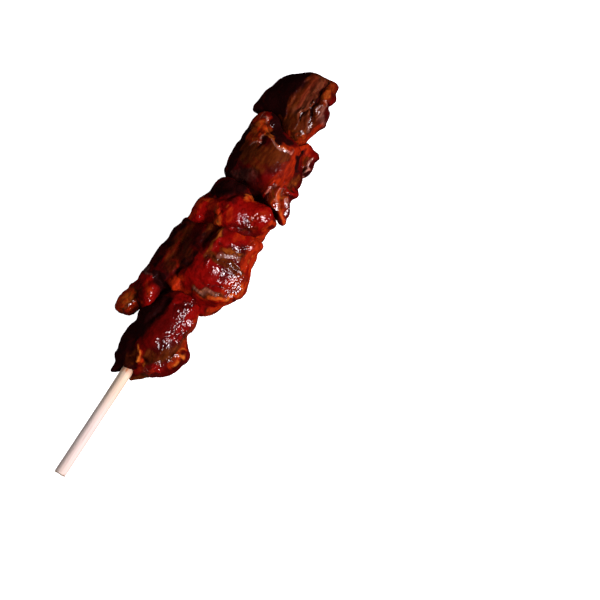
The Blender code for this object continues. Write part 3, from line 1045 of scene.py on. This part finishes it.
sixthBeef = {
    "slot": "browned_beef",
    "voxel": 0.3,
    "seed": 16,
    "plug": (174, 202, 4.5),
    "grabs": [
        ((205.5, -7), 4.5, (0.6, -1.4, 0)),
        ((200, -10), 3.4, (0, -1.4, 0)),
        ((195.5, -11), 2.4, (0, 1.2, 0)),
        ((187, -13), 2.5, (0, -0.8, 0)),
        ((179, 16), 3, (-1.0, 0.6, 0)),
        ((181, -12), 3, (0, -0.6, 0)),
    ],
    "uneven": 0.5,
    "seams": 0.2,
    "fibreDepth": 0.1,
    "lumpy": 0.25,
    "grainy": 0.2,
    "crumpled": 0.35,
    "bubbly": 0.1,
    "grainAt": (190, 0, 0),
    "grainTurn": -4,
    "creases": [
        ([(182, -3.5), (186, -2.4), (190, -3), (194, -2.6), (200, -2.8), (206, -2.2)], 0.6, 1.0),
        ([(183, -10), (188, -6.2), (191, -4.4), (195, -4.8), (200, -4), (207, -4.2)], 0.8, 1.5),
        ([(185, 1.2), (190, 0.2), (196, 0.6), (203, 0)], 0.5, 0.2),
        ([(179, -10), (184, -8)], 0.6, 0.5),
        ([(195, -12), (196.5, -9.5), (198, -8)], 0.8, 1.0),
    ],
    "ridges": [
        ([(183, -2.2), (187, -1.2), (191, -1.6)], 0.7, 0.6),
        ([(189, -9), (194, -7), (204, -7)], 2.0, 0.9),
        ([(176, -5.5), (179, -7.5)], 1.6, 0.8),
    ],
    "laps": [
        ([(180, 2), (186, 4), (195, 5.4), (206, 3.6)], 1.1, 0.9),
    ],
    "fibre": [([(178, -6), (206, -3)], 10, 1.0)],
    "gloss": [
        ([(182, -2.7), (184, -2)], 0.9, 0.8), ([(186, -1.4), (190.5, -2)], 0.8, 0.8),
        ([(182.5, -9.5), (187.5, -7)], 1.3, 0.8),
        ([(188, -12), (193, -8.5)], 2.6, 0.55), ([(196.5, -9.5), (198, -8.5)], 1.2, 0.9),
        ([(177, -5), (179, -8)], 1.6, 0.5),
        ([(174, -12), (177, -12)], 1.3, 0.8), ([(186, -13), (188, -13.5)], 1.2, 0.7),
        ([(192, -3.5), (195, -3.5)], 0.7, 0.6),
        ([(176, 0), (180, 2)], 1.0, 0.3),
    ],
    # painted shade on the shaded side and in gaps and creases, partly charred glaze
    "dark": [
        ([(178, 12), (190, 12), (200, 9)], 7.5, 1.0),
        ([(183, 6.2), (195, 7.4), (206, 6)], 2.6, 1.0),
        ([(172, 0), (177, 4), (181, 6)], 2.0, 1.0),
        ([(188, -6), (191, -4.4), (197, -4.7), (206, -4.2)], 0.9, 0.8),
        ([(178, -4.8), (179.8, -6), (179, -8)], 0.7, 0.5),
    ],
    "red": [
        ([(176, -5.5), (178.5, -7)], 1.8, 1.0),
        ([(172, -12), (178, -13)], 2.4, 0.9),
        ([(196, -11), (200, -12)], 1.6, 0.3),
    ],
    # orange crust, partly painted light along lit edges
    "orangeAndLitEdge": [
        ([(172, -10), (180, -11.5), (187, -12.5)], 1.6, 0.5),
        ([(197, -7), (206, -7)], 3.0, 0.22),
        ([(190, 1), (205, 1.5)], 2.0, 0.2),
        ([(172, -4), (176, -2)], 1.8, 0.6),
        ([(175, -8), (178, -9.5)], 2.0, 0.5),
    ],
    "fat": [
        ([(177, -9), (180, -8)], 1.3, 0.3), ([(199, -7), (203, -7.5)], 1.8, 0.3),
        ([(186, -1.4), (190, -1.8)], 0.6, 0.3),
    ],
    # painted sheen and highlight lines, partly pale fat bits
    "pale": [
        ([(188, -12), (191, -9.5), (194, -8.5)], 2.0, 0.26),
        ([(180, -3), (186, -1.5), (190, -1.8)], 0.6, 0.25),
        ([(181, -9), (187, -6.5)], 0.8, 0.25), ([(188, -1), (204, -1.4)], 5.0, 0.05),
        ([(196, -9), (198, -8)], 0.7, 0.6), ([(173, -12), (176, -12)], 0.7, 0.5),
    ],
    "brown": [
        ([(182, 3), (194, 3.5), (206, 2.5)], 3.0, 1.0),
        ([(177, -3), (190, -3.5), (206, -2)], 9.0, 1.0),
    ],
}
makeBeef("beef_6", sixthBeef)


woodLook = {
    "pale": (0.78, 0.67, 0.61, 1),
    "grain": (0.50, 0.38, 0.31, 1),
    "yellow": (0.80, 0.61, 0.39, 1),
    "endGrain": (0.68, 0.52, 0.38, 1),
    "stain": (0.55, 0.20, 0.08, 1),
    "roughness": 0.62,
    "grainSize": 0.5,
    "grooves": 0.09,
    "wavy": 0.12,
    "bump": 0.08,
    "cutLength": 0.8,
    "ragged": 0.18,
    "oiledFrom": 22,
    "oiledLength": 26,
    "stainedFrom": 48.5,
    "stainedLength": 4,
}


def makeWood():
    material = bpy.data.materials.new("paleWood")
    material.use_nodes = True
    tree = material.node_tree
    shader = tree.nodes["Principled BSDF"]
    coords = addNode(tree, "ShaderNodeTexCoord").outputs["Object"]
    grain = noiseAt(tree, coords, woodLook["grainSize"], 4, stretch=(0.03, 1, 1), low=0.45, high=0.75)
    broad = noiseAt(tree, coords, 9, 2, stretch=(0.15, 1, 1), low=0.35, high=0.7)
    colour = mixColours(tree, times(tree, broad, 0.35), woodLook["pale"], woodLook["yellow"])
    colour = mixColours(tree, times(tree, attributeOf(tree, "oiled"), 0.75), colour, woodLook["yellow"])
    colour = mixColours(tree, times(tree, grain, 0.55), colour, woodLook["grain"])
    colour = mixColours(tree, attributeOf(tree, "cut"), colour, woodLook["endGrain"])
    stained = maths(tree, "MULTIPLY", attributeOf(tree, "stained"), plus(tree, grain, 0.4), True)
    colour = mixColours(tree, stained, colour, woodLook["stain"])
    tree.links.new(colour, shader.inputs["Base Color"])
    shader.inputs["Roughness"].default_value = woodLook["roughness"]
    tree.links.new(bumpFrom(tree, grain, 0.4, woodLook["bump"]), shader.inputs["Normal"])
    return material


def makeStick():
    middle = (stickLow + stickHigh) / 2
    length = stickHigh.x - stickLow.x
    bpy.ops.mesh.primitive_cylinder_add(vertices=64, radius=stickRadius, depth=length, location=middle,
                                        rotation=(0, math.pi / 2, 0))
    stick = bpy.context.active_object
    stick.name = "stick_wood"
    settle(stick)
    remesh(stick, 0.36, 2)
    grooved = addGuide(middle, 0, 40)
    roughen(stick, "CLOUDS", 0.8, woodLook["grooves"], guide=grooved, noise_depth=1)
    bpy.data.objects.remove(grooved)
    roughen(stick, "CLOUDS", 14, woodLook["wavy"], noise_depth=0)
    points = pointsOf(stick)
    along = (points[:, 0] - stickLow.x) / mm
    normals = normalsOf(stick)
    ragged = woodLook["ragged"] * ripple(points * np.array([0.2, 1, 1]), 1.6, 71)
    points[:, 0] += np.where(along < woodLook["cutLength"], ragged * mm, 0)
    movePoints(stick, points)
    stainedEdge = along - woodLook["stainedFrom"] + 1.2 * ripple(points, 6, 72)
    paintAttribute(stick, "cut", soften(-normals[:, 0] * 2 - 0.6) * (along < 1.5))
    paintAttribute(stick, "oiled", soften((along - woodLook["oiledFrom"]) / woodLook["oiledLength"]))
    paintAttribute(stick, "stained", soften(stainedEdge / woodLook["stainedLength"]))
    stick.data.materials.append(makeWood())
    choose(stick)
    bpy.ops.object.shade_smooth()
    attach(stick, "root")
    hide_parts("stick")
    print("stick done,", len(stick.data.polygons), "faces")


makeStick()


# A light is its direction, distance, size, power and colour, and whether it shows in the gloss
studio = {
    "floorColour": (0.93, 0.93, 0.93, 1),
    "floorSize": 6.0,
    "world": (0.9, 0.92, 1.0, 1),
    "worldStrength": 0.02,
    "floorGlow": 0.95,
    "key": ((0.16, -0.78, 0.52), 0.62, (0.42, 0.13), 6.0, (1.0, 0.90, 0.97), True),
    "top": ((-0.35, 0.15, 0.92), 0.75, (0.4, 0.4), 0.8, (1.0, 0.95, 1.0), False),
    "back": ((-0.1, 0.98, 0.10), 0.8, (0.9, 0.9), 2.4, (1.0, 0.97, 1.0), False),
    "front": ((-0.92, -0.25, 0.30), 0.7, (0.4, 0.4), 1.0, (1.0, 0.96, 0.97), False),
}


def makeFloor():
    bpy.ops.mesh.primitive_plane_add(size=studio["floorSize"], location=(0, 0, 0))
    floor = bpy.context.active_object
    floor.name = "floor"
    settle(floor)
    material = bpy.data.materials.new("floorWhite")
    material.use_nodes = True
    shader = material.node_tree.nodes["Principled BSDF"]
    shader.inputs["Base Color"].default_value = studio["floorColour"]
    shader.inputs["Roughness"].default_value = 0.9
    shader.inputs["Specular IOR Level"].default_value = 0.0
    shader.inputs["Emission Color"].default_value = (1, 1, 1, 1)
    shader.inputs["Emission Strength"].default_value = studio["floorGlow"]
    floor.data.materials.append(material)
    floor.visible_diffuse = False
    floor.visible_glossy = False


def addLight(name, direction, distance, size, power, colour, glints):
    middle = (cadLow + cadHigh) / 2
    bpy.ops.object.light_add(type="AREA", location=middle + Vector(direction).normalized() * distance)
    light = bpy.context.active_object
    light.name = name
    light.data.shape = "RECTANGLE"
    light.data.size, light.data.size_y = size
    light.data.energy = power
    light.data.color = colour
    light.visible_glossy = glints
    light.rotation_euler = (middle - light.location).to_track_quat("-Z", "Y").to_euler()


def makeStudio():
    makeFloor()
    world = bpy.data.worlds.new("studio")
    world.use_nodes = True
    world.node_tree.nodes["Background"].inputs["Color"].default_value = studio["world"]
    world.node_tree.nodes["Background"].inputs["Strength"].default_value = studio["worldStrength"]
    bpy.context.scene.world = world
    for name in ("key", "top", "back", "front"):
        addLight(name + "Light", *studio[name])
    bpy.context.scene.view_settings.view_transform = "Standard"
    bpy.ops.object.camera_add(location=place(*camera["place"]))
    eye = bpy.context.active_object
    eye.data.lens = camera["lens"]
    eye.data.sensor_width = camera["sensor"]
    eye.data.clip_start = 0.01
    eye.data.clip_end = 10
    eye.rotation_euler = (place(*camera["aim"]) - eye.location).to_track_quat("-Z", "Y").to_euler()
    bpy.context.scene.camera = eye


makeStudio()
print("floor, lights and camera set")
